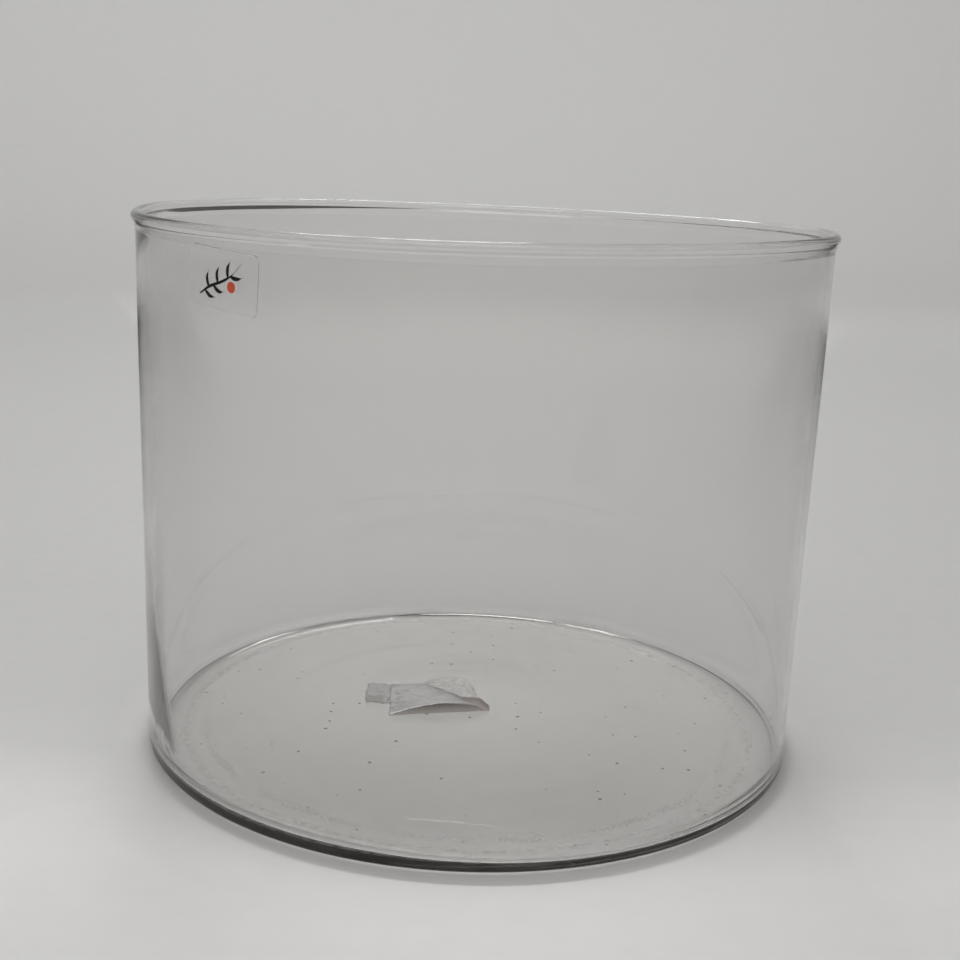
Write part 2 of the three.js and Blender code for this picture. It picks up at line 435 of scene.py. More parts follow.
def straight(start, end, steps):
    """Points (r, z) from start to end, without the ends."""
    return [
        (lerp(start[0], end[0], i / steps), lerp(start[1], end[1], i / steps))
        for i in range(1, steps)
    ]


def floor_height(out):
    """The height of the floor's upper side at a distance from the axis."""
    edge = WALL_RADIUS - WALL_THICKNESS - FLOOR_FILLET
    share = (edge - out) / (edge - FLOOR_FLAT_RADIUS_IN)
    return lerp(FLOOR_EDGE_HEIGHT, FLOOR_CENTRE_HEIGHT, math.sin(min(share, 1) * math.pi / 2))


def dish_profile():
    """The outline of the glass, from the middle of its underside over the rim to that of its floor."""
    inner = WALL_RADIUS - WALL_THICKNESS
    bead_base = HEIGHT - 2 * BEAD_HALF_HEIGHT
    bead_middle = WALL_RADIUS + BEAD_OVERHANG - BEAD_HALF_WIDTH
    punt_steps, taper_steps, neck_steps, floor_steps = 32, 8, 6, 24
    points = []
    for i in range(punt_steps + 1):
        share = i / punt_steps
        points.append((REST_RING_INNER * share, PUNT_DEPTH * (1 - share**2) ** 1.5))
    heel_start = WALL_RADIUS - HEEL_RADIUS
    points += straight((REST_RING_INNER, 0), (heel_start, 0), 4)
    points += arc((heel_start, HEEL_RADIUS), (HEEL_RADIUS, HEEL_RADIUS), -90, 0, 14)
    points += straight((WALL_RADIUS, HEEL_RADIUS), (WALL_RADIUS, bead_base - TAPER_HEIGHT), 40)
    for i in range(taper_steps):
        rise = i / taper_steps
        swell = BEAD_OVERHANG * 0.3 * smooth(rise)
        points.append((WALL_RADIUS + swell, bead_base - TAPER_HEIGHT * (1 - rise)))
    bead_centre = (bead_middle, HEIGHT - BEAD_HALF_HEIGHT)
    bead = arc(bead_centre, (BEAD_HALF_WIDTH, BEAD_HALF_HEIGHT), -48, 205, 36)
    points += bead
    inner_top = (inner, bead_base - TAPER_HEIGHT)
    for i in range(1, neck_steps):
        share = i / neck_steps
        points.append((lerp(bead[-1][0], inner, smooth(share)), lerp(bead[-1][1], inner_top[1], share)))
    fillet_top = (inner, FLOOR_EDGE_HEIGHT + FLOOR_FILLET)
    points += straight(inner_top, fillet_top, 40)
    fillet_centre = (inner - FLOOR_FILLET, FLOOR_EDGE_HEIGHT + FLOOR_FILLET)
    points += arc(fillet_centre, (FLOOR_FILLET, FLOOR_FILLET), 0, -90, 16)
    for i in range(1, floor_steps + 1):
        out = lerp(inner - FLOOR_FILLET, 0, i / floor_steps)
        points.append((out, floor_height(out)))
    return points


def lathe(name, profile, segments, place=None):
    """Turns (r, z) points round the axis. place(r, z, angle) moves a point of the smooth body."""
    verts, rows = [], []
    for out, height in profile:
        row = []
        for s in range(segments if out > 1e-9 else 1):
            angle = TAU * s / segments
            point = place(out, height, angle) if place else (out, height)
            row.append(len(verts))
            verts.append((point[0] * math.cos(angle), point[0] * math.sin(angle), point[1]))
        rows.append(row)
    faces = []
    for low, high in zip(rows, rows[1:], strict=False):
        for s in range(segments):
            n = (s + 1) % segments
            if len(low) == 1:
                faces.append((low[0], high[n], high[s]))
            elif len(high) == 1:
                faces.append((low[s], low[n], high[0]))
            else:
                faces.append((low[s], low[n], high[n], high[s]))
    return link(name, mesh_from(name, verts, faces))


# ---- dirt, worn places, painted shade and painted light on the glass ----

FLOOR_TOP = 6.5 * MM  # the whole of the floor is below this
FLOOR_EDGE = 119 * MM
SPECK_CELLS = 110.0  # to the metre
SPECK_SHARE = 0.22  # how many of the cells hold a speck
WORN_RING_RADIUS = 111.3 * MM
DRAG_RADIUS = 103.5 * MM
LINE_BEHIND_STICKER = ((-38, 31), (14, 41))  # millimetres
# a dark line painted under the bead, standing in for its refraction of dark surroundings
BEAD_LINE_START = math.radians(118)
BEAD_LINE_END = math.radians(172)
BEAD_LINE_HEIGHT = HEIGHT - 3.0 * MM
BEAD_LINE_HALF_WIDTH = 0.75 * MM
# this residue low on the left wall is partly a painted refraction of dark surroundings
SMEAR_START = math.radians(-176)
SMEAR_END = math.radians(-144)
SMEAR_FOOT = 22 * MM
SMEAR_LEAN = 3.24  # how far its end draws back with height, in radians a metre
# Scratches on the floor, in millimetres: start, end, width and strength.
SCRATCHES = [
    ((-20, -94), (2, -95.2), 0.14, 0.35),
    ((2, -95.2), (24, -97), 0.14, 0.22),
    ((22, -98), (31, -103), 0.14, 0.3),
    ((31, -103), (36, -109), 0.16, 0.35),
    ((36, -109), (31, -111.5), 0.14, 0.3),
    ((84, -62), (80, -67), 0.12, 0.3),
    ((80, -67), (83, -71), 0.12, 0.3),
]


def floor_and_underside(nodes, z, out):
    """Two masks: the floor's upper side, and the underside that curves up to the punt."""
    share = nodes.maths("DIVIDE", out, REST_RING_INNER)
    bow = nodes.minus(1.0, nodes.times(share, share), clamp=True)
    underside = nodes.times(nodes.maths("POWER", bow, 1.5), PUNT_DEPTH)
    upper = nodes.maths("GREATER_THAN", z, nodes.plus(underside, 1 * MM))
    floor = nodes.times(upper, nodes.maths("LESS_THAN", z, FLOOR_TOP))
    floor = nodes.times(floor, nodes.maths("LESS_THAN", out, FLOOR_EDGE))
    return floor, nodes.minus(1.0, upper)


def floor_specks(nodes, place, floor):
    """Dust specks of several sizes that lie on the floor."""
    inputs = {"Vector": place, "Scale": SPECK_CELLS}
    cells = nodes.add("ShaderNodeTexVoronoi", inputs, voronoi_dimensions="2D").outputs
    pick = nodes.add("ShaderNodeSeparateColor", {"Color": cells["Color"]}).outputs
    size = nodes.plus(0.03, nodes.times(pick[1], 0.05))
    close = nodes.maths("LESS_THAN", cells["Distance"], size)
    return nodes.times(close, nodes.maths("LESS_THAN", pick[0], SPECK_SHARE), floor)


def worn_ring(nodes, out, wander, grit, under):
    """The ring the dish stands on, worn along its inner edge."""
    off_ring = nodes.absolute(nodes.minus(nodes.plus(out, wander), WORN_RING_RADIUS))
    return nodes.times(nodes.band(off_ring, 3.0 * MM, 0.3 * MM), nodes.band(grit, 0.3, 0.62), under)


def drag_marks(nodes, place, y, out, wander, patchy, under):
    """Fine marks under the base, inside the worn ring and mostly at the front."""
    off_drag = nodes.plus(out, nodes.times(wander, 2.5))
    off_drag = nodes.absolute(nodes.minus(off_drag, DRAG_RADIUS))
    fine = nodes.noise(place, 1400.0, 3.0, 0.7)
    drag = nodes.times(nodes.band(off_drag, 2.6 * MM, 0.2 * MM), nodes.band(fine, 0.46, 0.56))
    return nodes.times(drag, nodes.band(patchy, 0.36, 0.56), under, nodes.band(y, 0.0, -50 * MM))


def line_behind_sticker(nodes, x, y, floor):
    """A soft dark line on the floor behind the sticker."""
    off_line = nodes.absolute(nodes.beside(x, y, *LINE_BEHIND_STICKER))
    off_middle = nodes.absolute(nodes.plus(x, 12 * MM))
    return nodes.times(nodes.band(off_line, 4.5, 1.0), floor, nodes.band(off_middle, 30 * MM, 18 * MM))


def dark_bead_line(nodes, z, out, turn):
    """A dark line painted under the inside of the bead, at the back left, standing in for the bead's
    refraction of dark surroundings.
    """
    taper = nodes.band(turn, BEAD_LINE_START - 0.3, BEAD_LINE_START + 0.35)
    taper = nodes.times(taper, nodes.band(turn, BEAD_LINE_END, BEAD_LINE_END - 0.12))
    half = nodes.times(taper, BEAD_LINE_HALF_WIDTH)
    off_line = nodes.absolute(nodes.minus(z, BEAD_LINE_HEIGHT))
    inside = nodes.maths("LESS_THAN", out, WALL_RADIUS - 1.0 * MM)
    return nodes.times(nodes.maths("LESS_THAN", off_line, half), inside)


def smear_and_dark_refraction(nodes, z, turn, patchy):
    """A thin residue low on the wall at the left, partly a painted refraction of dark surroundings,
    narrower towards its top and ragged at its foot.
    """
    lean = nodes.plus(turn, nodes.times(nodes.minus(z, SMEAR_FOOT), SMEAR_LEAN))
    smear_and_refraction = nodes.band(lean, SMEAR_END, SMEAR_END - math.radians(3.5))
    smear_and_refraction = nodes.times(smear_and_refraction, nodes.band(turn, SMEAR_START, SMEAR_START + math.radians(10)))
    foot = nodes.minus(z, nodes.times(nodes.minus(patchy, 0.5), 26 * MM))
    smear_and_refraction = nodes.times(smear_and_refraction, nodes.band(foot, 14 * MM, 18 * MM), nodes.band(z, 88 * MM, 50 * MM))
    # painted refraction of dark surroundings: it shows most where the wall is seen nearly edge-on
    edge_on = nodes.add("ShaderNodeLayerWeight", {"Blend": 0.5}).outputs["Facing"]
    edge_on = nodes.times(edge_on, edge_on, 3.4, clamp=True)
    smear_and_refraction = nodes.times(smear_and_refraction, nodes.plus(0.12, nodes.times(edge_on, 0.88)))
    return nodes.times(smear_and_refraction, nodes.plus(0.84, nodes.times(nodes.band(patchy, 0.35, 0.6), 0.16)))


def scratch_line(nodes, x, y, start, end, width):
    """A straight scratch with soft sides and ends."""
    line = nodes.absolute(nodes.beside(x, y, start, end))
    line = nodes.band(line, width * 2, width * 0.6)
    length = math.hypot(end[0] - start[0], end[1] - start[1])
    ahead = (start[1] - end[1], end[0] - start[0])
    run = nodes.beside(x, y, start, (start[0] - ahead[0], start[1] - ahead[1]))
    return nodes.times(line, nodes.band(run, -0.4, 0.4), nodes.band(run, length + 0.4, length - 0.4))


def painted_light_band(nodes, x, y, out, floor, grit):
    """Painted light: a pale band like dry dust towards the floor's edge, mostly at the back right."""
    film = nodes.times(nodes.band(out, 98 * MM, 108 * MM), nodes.band(out, 120 * MM, 111 * MM))
    back_right = nodes.plus(y, nodes.times(x, 0.6))
    film = nodes.times(film, floor, nodes.band(back_right, 0.0, 60 * MM))
    return nodes.times(film, nodes.plus(0.09, nodes.times(nodes.band(grit, 0.45, 0.7), 0.16)))


def wall_scuff(nodes, x, y, z, grit, patchy):
    """Pale scuffs low on the wall at the right."""
    scuff = nodes.times(nodes.band(grit, 0.5, 0.66), nodes.band(patchy, 0.4, 0.6))
    scuff = nodes.times(scuff, nodes.band(x, 97 * MM, 105 * MM), nodes.band(y, 20 * MM, 0.0))
    return nodes.times(scuff, nodes.band(z, 10 * MM, 18 * MM), nodes.band(z, 52 * MM, 38 * MM))


def strongest(nodes, first, *others):
    """Each mark is a row of factors to multiply; at each point the strongest mark counts."""
    result = nodes.times(*first)
    for other in others:
        result = nodes.maths("MAXIMUM", result, nodes.times(*other))
    return result


def glass_marks_and_shade(nodes, place, x, y, z, out):
    """How dark or pale the dirt, worn places, painted shade and painted light are at each point."""
    floor, under = floor_and_underside(nodes, z, out)
    grit = nodes.noise(place, 420.0, 4.0, 0.7)
    patchy = nodes.noise(place, 45.0, 3.0)
    wander = nodes.times(nodes.minus(nodes.noise(place, 60.0, 3.0), 0.5), 1.4 * MM)
    turn = nodes.maths("ARCTAN2", y, x)
    # the dark marks hold real dirt and wear, and also the painted dark line under the bead and the painted
    # refraction on the left wall
    dark = strongest(
        nodes,
        (floor_specks(nodes, place, floor), 0.9),
        (smear_and_dark_refraction(nodes, z, turn, patchy), 0.97),
        (dark_bead_line(nodes, z, out, turn), 0.93),
        (worn_ring(nodes, out, wander, grit, under), 0.36),
        (drag_marks(nodes, place, y, out, wander, patchy, under), 0.5),
        (line_behind_sticker(nodes, x, y, floor), 0.13),
    )
    # dust, scratches and scuffs scatter light, so they are pale; the band at the floor's edge is painted
    # light
    dull = nodes.band(nodes.noise(place, 28.0, 5.0, 0.65, 1.0), 0.42, 0.75)
    scratches = [
        (scratch_line(nodes, x, y, start, end, width), floor, strength)
        for start, end, width, strength in SCRATCHES
    ]
    pale = strongest(
        nodes,
        (dull, floor, 0.05),
        *scratches,
        (painted_light_band(nodes, x, y, out, floor, grit),),
        (wall_scuff(nodes, x, y, z, grit, patchy), 0.35),
    )
    return dark, pale


# ---- glass material ----

GLASS_TINT = (0.975, 0.971, 0.964)
DUST_AND_LIGHT_COLOUR = (0.75, 0.74, 0.72)
DIRT_AND_SHADE_COLOUR = (0.10, 0.095, 0.085)
BODY_COLOUR = (0.13, 0.11, 0.06, 1)
BODY_DENSITY = 17.0
# What share of the lamps' light each part of the glass lets through.
WALL_SHADE = 0.93
BASE_SHADE = 1.0
HEEL_SHADE = 0.0
HEEL_SHADE_TOP = 5.4 * MM
BASE_TOP = 8 * MM


def lamp_shade(nodes, z, out):
    """How much of the lamps' light passes: less where it grazes the glass, and none through the heel."""
    within = nodes.maths("LESS_THAN", out, WALL_RADIUS - MM)
    base = nodes.times(nodes.maths("LESS_THAN", z, BASE_TOP), within)
    heel = nodes.times(
        nodes.maths("GREATER_THAN", out, WALL_RADIUS - MM),
        nodes.maths("LESS_THAN", z, HEEL_SHADE_TOP),
    )
    shade = nodes.plus(WALL_SHADE, nodes.times(base, BASE_SHADE - WALL_SHADE))
    shade = nodes.plus(shade, nodes.times(heel, HEEL_SHADE - WALL_SHADE))
    facing = nodes.add("ShaderNodeLayerWeight", {"Blend": 0.5}).outputs["Facing"]
    shade = nodes.times(shade, nodes.minus(1.0, nodes.maths("POWER", facing, 5.0)))
    return nodes.add("ShaderNodeCombineColor", {"Red": shade, "Green": shade, "Blue": shade}).outputs[0]


def glass_material():
    nodes = Nodes("clear_glass")
    place = nodes.object_place()
    x, y, z = nodes.separate(place)
    out = nodes.from_axis(x, y)
    dark, pale = glass_marks_and_shade(nodes, place, x, y, z, out)
    all_marks = nodes.maths("MAXIMUM", dark, pale)
    colour = nodes.mixed(dark, nodes.mixed(pale, GLASS_TINT, DUST_AND_LIGHT_COLOUR), DIRT_AND_SHADE_COLOUR)
    hazy = nodes.ramp(nodes.noise(place, 9.0, 5.0, 0.6, 0.6), (0.45, 0.0), (0.8, 0.035))
    rough = nodes.plus(nodes.times(pale, 0.6), nodes.times(dark, 0.15))
    shader = nodes.add(
        "ShaderNodeBsdfPrincipled",
        {
            "Base Color": colour,
            "Roughness": nodes.plus(hazy, rough, clamp=True),
            "IOR": 1.5,
            "Transmission Weight": nodes.minus(1.0, all_marks, clamp=True),
        },
    )
    path = nodes.add("ShaderNodeLightPath").outputs
    lamp_side = nodes.maths("MAXIMUM", path["Is Shadow Ray"], path["Is Diffuse Ray"])
    nodes.surface_or_clear(shader, lamp_side, lamp_shade(nodes, z, out))
    body = nodes.add("ShaderNodeVolumeAbsorption", {"Color": BODY_COLOUR, "Density": BODY_DENSITY})
    nodes.set(nodes.output.inputs["Volume"], body.outputs[0])
    return nodes.material


# ---- glass shape ----


def thin_side(angle):
    """1 where the base's rim is thinnest, towards the right front, falling to 0 at the left."""
    return smooth((math.cos(angle - THIN_TURN) + 0.05) / 0.75)


def fillet_share(angle):
    """The size of the floor's fillet as a share of the full one: it is small at the sides."""
    side = smooth((math.sin(angle) + 0.35) / 0.4)
    back = smooth((math.cos(angle - BACK_FILLET_TURN) - 0.85) / 0.09)
    return lerp(1, lerp(SIDE_FILLET, BACK_FILLET, back), side)


def shift_inner(out, height, angle):
    """Moves a point of the inner surface: the leaning wall, the smaller fillet and the thinner base."""
    rim_share = smooth((HEIGHT - 2 * BEAD_HALF_HEIGHT - height) / (8 * MM))
    floor_share = smooth((out - 0.8 * WALL_RADIUS) / (0.15 * WALL_RADIUS))
    out += WALL_LEAN * math.cos(angle) * rim_share * floor_share
    shrink = 1 - fillet_share(angle)
    inner = WALL_RADIUS - WALL_THICKNESS
    edge = inner - FLOOR_FILLET
    if out < edge:
        slope_share = max((out - FLOOR_FLAT_RADIUS_IN) / (edge - FLOOR_FLAT_RADIUS_IN), 0)
        out += shrink * FLOOR_FILLET * slope_share
    elif height < FLOOR_EDGE_HEIGHT + FLOOR_FILLET:
        out = min(inner, out + shrink * (inner - out))
        height -= shrink * (height - FLOOR_EDGE_HEIGHT)
    else:
        fade = 1 - smooth((height - FLOOR_EDGE_HEIGHT - FLOOR_FILLET) / (30 * MM))
        height -= shrink * FLOOR_FILLET * fade
    low = 1 - smooth((height - 9 * MM) / (22 * MM))
    outer = smooth((out - 62 * MM) / (46 * MM))
    height -= THIN_SHARE * thin_side(angle) * outer * low * min(height, 8 * MM)
    return out, height


def make_glass():
    inner_limit = WALL_RADIUS - 0.6 * WALL_THICKNESS

    def place(out, height, angle):
        if out < inner_limit and height > FLOOR_EDGE_HEIGHT - MM:
            out, height = shift_inner(out, height, angle)
        rise = smooth((height / HEIGHT - 0.5) / 0.5)
        return out, height + RIM_WAVE * math.cos(2 * angle + RIM_WAVE_PHASE) * rise

    profile = [(max(r - SHORT, 0) if r > 1e-6 else 0, z) for r, z in dish_profile()]
    dish = lathe("dish_glass", profile, SEGMENTS, place)
    add_material(dish, glass_material())
    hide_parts("glass_dish")
    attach(dish, "root")


# ---- thin sheets ----


def sheet(surface, columns, rows, thickness):
    """A closed thin sheet. surface(u, v) gives a point of its underside and the way its thickness goes."""
    verts, faces = [], []

    def index(layer, column, row):
        return (layer * (columns + 1) + column) * (rows + 1) + row

    for layer in (0, 1):
        for column in range(columns + 1):
            for row in range(rows + 1):
                point, normal = surface(column / columns, row / rows)
                verts.append(point + normal * thickness * layer)
    for c in range(columns):
        for r in range(rows):
            top = [(c, r), (c + 1, r), (c + 1, r + 1), (c, r + 1)]
            faces.append(tuple(index(1, *corner) for corner in top))
            faces.append(tuple(index(0, *corner) for corner in reversed(top)))
    ring = [(c, 0) for c in range(columns)] + [(columns, r) for r in range(rows)]
    ring += [(c, rows) for c in range(columns, 0, -1)] + [(0, r) for r in range(rows, 0, -1)]
    for here, after in zip(ring, ring[1:] + ring[:1], strict=True):
        faces.append((index(0, *here), index(0, *after), index(1, *after), index(1, *here)))
    return verts, faces


def joined(name, parts):
    verts, faces = [], []
    for part_verts, part_faces in parts:
        start = len(verts)
        verts += part_verts
        faces += [tuple(start + i for i in face) for face in part_faces]
    return link(name, mesh_from(name, verts, faces))


def along(corners, share):
    """The point a share of the way along a row of corners."""
    position = min(max(share, 0), 1) * (len(corners) - 1)
    i = min(int(position), len(corners) - 2)
    return Vector(corners[i]).lerp(Vector(corners[i + 1]), position - i)


def curve(corners, share):
    """The same, smoothed into a curve through the corners."""
    position = min(max(share, 0), 1) * (len(corners) - 1)
    i = min(int(position), len(corners) - 2)
    t = position - i
    a, b = Vector(corners[max(i - 1, 0)]), Vector(corners[i])
    c, d = Vector(corners[i + 1]), Vector(corners[min(i + 2, len(corners) - 1)])
    bend = (2 * a - 5 * b + 4 * c - d) * t**2
    twist = (3 * b - a - 3 * c + d) * t**3
    return 0.5 * (2 * b + (c - a) * t + bend + twist)


# ---- label ----

FILM_ANGLE = math.radians(-39.1)
FILM_MIDDLE_HEIGHT = 180.6 * MM
FILM_TILT = math.radians(-4)
FILM_WIDTH = 31 * MM
FILM_HEIGHT = 18.5 * MM
FILM_CORNER = 2.2 * MM
FILM_THICKNESS = 0.1 * MM
FILM_RADIUS = WALL_RADIUS + 0.05 * MM
INK_RADIUS = FILM_RADIUS + FILM_THICKNESS + 0.04 * MM
INK_THICKNESS = 0.03 * MM


def on_wall(across, up, radius):
    """A point on the outside of the wall, measured round and up from the label's middle."""
    round_wall = across * math.cos(FILM_TILT) - up * math.sin(FILM_TILT)
    height = FILM_MIDDLE_HEIGHT + across * math.sin(FILM_TILT) + up * math.cos(FILM_TILT)
    angle = FILM_ANGLE + round_wall / WALL_RADIUS
    normal = Vector((math.sin(angle), -math.cos(angle), 0))
    return normal * radius + Vector((0, 0, height)), normal


def make_film():
    def surface(u, v):
        half = FILM_HEIGHT / 2
        side = abs(2 * u - 1) * FILM_WIDTH / 2 - (FILM_WIDTH / 2 - FILM_CORNER)
        if side > 0:
            half -= FILM_CORNER - math.sqrt(max(FILM_CORNER**2 - side**2, 0))
        across = (u - 0.5) * FILM_WIDTH
        up = (2 * v - 1) * half
        ripple = noise.noise(Vector((across * 260, up * 260, 3.1))) * 0.02 * MM
        return on_wall(across, up, FILM_RADIUS + 0.02 * MM + ripple)

    film = joined("label_film", [sheet(surface, 96, 40, FILM_THICKNESS)])
    add_material(film, film_material())
    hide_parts("clear_film_label")
    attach(film, "root")


def film_material():
    nodes = Nodes("clear_film")
    place = nodes.object_place()
    haze = nodes.noise(place, 260.0, 4.0, 0.6)
    roughness = nodes.ramp(haze, (0.3, 0.04), (0.75, 0.16))
    blotch = nodes.noise(place, 90.0, 5.0, 0.65)
    clearness = nodes.ramp(blotch, (0.25, 0.9), (0.7, 0.97))
    shader = nodes.add(
        "ShaderNodeBsdfPrincipled",
        {
            "Base Color": (0.97, 0.97, 0.97, 1),
            "Roughness": roughness,
            "IOR": 1.16,
            "Transmission Weight": clearness,
        },
    )
    path = nodes.add("ShaderNodeLightPath").outputs
    nodes.surface_or_clear(shader, path["Is Shadow Ray"], (0.93, 0.93, 0.93, 1))
    return nodes.material


# The mark is a plain drawn sprig with one red berry; places are millimetres across and up from the middle.
STEM = [(-10, -5.6), (-5, -2.6), (0, -0.6), (4.6, 2), (8.6, 6)]
LEAVES = [
    [(-7.4, -4.1), (-5, -5.6), (-2.2, -5.6)],
    [(-3.6, -2), (-1, -3.6), (1.8, -3.4)],
    [(4, 1.6), (6.8, 1.2), (9.4, 2)],
    [(-5.6, -3), (-6.6, -0.4), (-5.8, 2.2)],
    [(-1.4, -1.2), (-2, 1.6), (-0.8, 4.2)],
    [(3, 1), (2.8, 3.8), (4, 6.4)],
]
BERRY_MIDDLE = (4.6, -1.6)
BERRY_RADIUS = 1.7


def ink_stroke(corners, widest, seed):
    """One brush stroke: it starts thin, swells where the brush is pressed and ends in a dry point."""

    def surface(u, v):
        middle = curve(corners, u)
        ahead = (curve(corners, u + 0.01) - curve(corners, u - 0.01)).normalized()
        press = math.sin(math.pi * min(u * 1.15 + 0.06, 1.0)) ** 0.7
        rough = 1 + 0.22 * noise.noise(Vector((u * 9, seed, v * 3)))
        side = (v - 0.5) * max(widest * press * rough, 0.12)
        place = middle + Vector((-ahead.y, ahead.x)) * side
        return on_wall(place.x * MM, place.y * MM, INK_RADIUS)

    return sheet(surface, 40, 4, INK_THICKNESS)


def ink_material(name, dark, light, roughness):
    nodes = Nodes(name)
    place = nodes.object_place()
    patch = nodes.noise(place, 900.0, 4.0, 0.6)
    colour = nodes.ramp(patch, (0.35, dark), (0.75, light))
    sheen = nodes.ramp(nodes.noise(place, 400.0, 3.0), (0.3, roughness), (0.7, roughness + 0.15))
    shader = nodes.add(
        "ShaderNodeBsdfPrincipled",
        {"Base Color": colour, "Roughness": sheen, "Specular IOR Level": 0.2},
    )
    nodes.surface(shader)
    return nodes.material


def make_print():
    strokes = [ink_stroke(STEM, 0.95, 0.5)]
    strokes += [ink_stroke(leaf, 1.25, 1.7 * i + 2) for i, leaf in enumerate(LEAVES)]
    sprig = joined("label_sprig", strokes)
    add_material(sprig, ink_material("black_ink", (0.004, 0.005, 0.005), (0.016, 0.016, 0.017), 0.5))
    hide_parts("label_print_sprig")
    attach(sprig, "root")

    def surface(u, v):
        x, y = 2 * u - 1, 2 * v - 1
        disc = Vector((x * math.sqrt(1 - y * y / 2), y * math.sqrt(1 - x * x / 2)))
        wobble = 1 + 0.07 * noise.noise(Vector((disc.x * 2, disc.y * 2, 7.7)))
        across, up = Vector(BERRY_MIDDLE) + disc * BERRY_RADIUS * wobble
        return on_wall(across * MM, up * MM, INK_RADIUS)

    berry = joined("label_berry", [sheet(surface, 24, 24, INK_THICKNESS)])
    add_material(berry, ink_material("red_ink", (0.66, 0.08, 0.035), (0.8, 0.15, 0.075), 0.5))
    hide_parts("label_print_berry")
    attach(berry, "root")


# ---- torn sticker ----

PAPER_THICKNESS = 0.16 * MM
PAPER_LIFT = 0.08 * MM
# The outlines below and the heights of the lifts are in millimetres.
BUCKLE_HEIGHT = 4.0
MAIN_FRONT = [(-31, -13), (-21, -10.9), (-11, -8.7), (-1, -6.6), (8.4, -4.6)]
MAIN_BACK = [(-32, 18.8), (-26, 20), (-19.7, 21.1), (-11.5, 13.4), (-3.3, 6.2), (4.8, 5.6), (8.6, -1.5)]
FLAP_BACK = [(-28, -7), (-19, 1.5), (-9, 4.5), (-1, 3.5), (6.4, -3.2)]
SCRAP_FRONT = [(-41.2, -1.1), (-37.6, 0), (-32.0, -1.6)]
SCRAP_BACK = [(-41.7, 19.2), (-37.6, 18.7), (-32.3, 18.1)]
PATCH_FRONT = [(-18, 21.5), (-9.2, 13.9), (-1.4, 6.4), (3.3, 4)]
PATCH_BACK = [(-16.7, 24.4), (-10, 29.3), (-1.8, 28.4), (2.5, 15.7)]
FIBRE_LENGTHS = (1.2, 4.2)
FIBRE_WIDTHS = (0.16, 0.46)
TEAR_SEED = 1794886876  # fixes how the edges tear; without a seed they change from run to run


def ragged(u, v, place, size, seed):
    """Moves points near the sheet's edges in and out, as torn paper does."""
    near = max(abs(2 * u - 1), abs(2 * v - 1))
    weight = smooth((near - 0.8) / 0.2)
    spot = Vector((place.x * 0.9, place.y * 0.9, seed))
    coarse = noise.noise_vector(spot)
    fine = noise.noise_vector(spot * 3.3)
    move = (coarse + fine * 0.5) * size * weight
    return Vector((place.x + move.x, place.y + move.y))


def scrap(front, back, columns, rows, lift, size, seed, thickness=PAPER_THICKNESS):
    """A paper scrap between two outlines in millimetres, raised off the floor by lift(u, v)."""

    def surface(u, v):
        place = ragged(u, v, along(front, u).lerp(along(back, u), v), size, seed)
        base = floor_height(place.length * MM) + PAPER_LIFT
        crumple = 0.10 * noise.noise(Vector((place.x * 0.7, place.y * 0.7, seed + 5)))
        crumple += 0.05 * noise.noise(Vector((place.x * 2.6, place.y * 2.6, seed + 9)))
        height = base + (lift(u, v) + max(crumple + 0.1, 0)) * MM
        return Vector((place.x * MM, place.y * MM, height)), Vector((0, 0, 1))

    return sheet(surface, columns, rows, thickness)


def main_lift(u, v):
    """The front has come loose and arches up; the back edge curls a little over the fibres."""
    arch = BUCKLE_HEIGHT * math.sin(math.pi * u ** 1.15) ** 0.8 * (1 - v) ** 2.2
    curl = 0.9 * smooth((u - 0.3) / 0.25) * smooth((v - 0.8) / 0.2)
    return arch + curl


def flat_lift(u, v):
    return 0.0


def patch_lift(u, v):
    return 0.15


def fibres(front, back, count, seed):
    """Short loose paper fibres that lie over a torn patch."""
    parts = []
    for i in range(count):
        roll = noise.cell_vector(Vector((i * 3 + 0.5, seed, 0.5)))
        turn = noise.cell_vector(Vector((i * 3 + 0.5, seed, 9.5)))
        middle = along(front, roll.x % 1).lerp(along(back, roll.x % 1), roll.y % 1)
        length = lerp(*FIBRE_LENGTHS, roll.z % 1)
        width = lerp(*FIBRE_WIDTHS, turn.y % 1)
        heading = math.pi * (turn.x % 1) * 0.5 + math.radians(-60)
        ahead = Vector((math.cos(heading), math.sin(heading)))
        bend = (turn.z % 1) - 0.5

        def surface(u, v, middle=middle, ahead=ahead, length=length, width=width, bend=bend):
            side = Vector((-ahead.y, ahead.x))
            taper = width * (0.35 + 0.65 * math.sin(math.pi * u))
            place = middle + ahead * (u - 0.5) * length
            place += side * ((v - 0.5) * taper + bend * length * 0.5 * (1 - (2 * u - 1) ** 2))
            height = floor_height(place.length * MM) + (0.3 + 0.25 * math.sin(math.pi * u)) * MM
            return Vector((place.x * MM, place.y * MM, height)), Vector((0, 0, 1))

        parts.append(sheet(surface, 8, 2, 0.1 * MM))
    return parts


def paper_surface(nodes, place, colour, bump_size):
    """Matt paper with fine fibres that run across each other."""
    coarse = nodes.noise(place, 420.0, 6.0, 0.65, 0.4)
    stretch = nodes.add("ShaderNodeMapping", {"Vector": place, "Scale": (0.35, 1.6, 1.0)}).outputs[0]
    thread = nodes.noise(stretch, 1500.0, 5.0, 0.6, 1.2)
    height = nodes.plus(coarse, nodes.times(thread, 0.6))
    bump = nodes.add("ShaderNodeBump", {"Strength": 0.7, "Distance": bump_size, "Height": height})
    relief = nodes.plus(nodes.times(coarse, 0.5), nodes.times(thread, 0.5))
    tinted = nodes.multiplied(colour, nodes.ramp(relief, (0.3, 0.82), (0.7, 1.0)))
    inputs = {"Base Color": tinted, "Roughness": 0.88, "Normal": bump.outputs[0]}
    nodes.surface(nodes.add("ShaderNodeBsdfPrincipled", inputs))


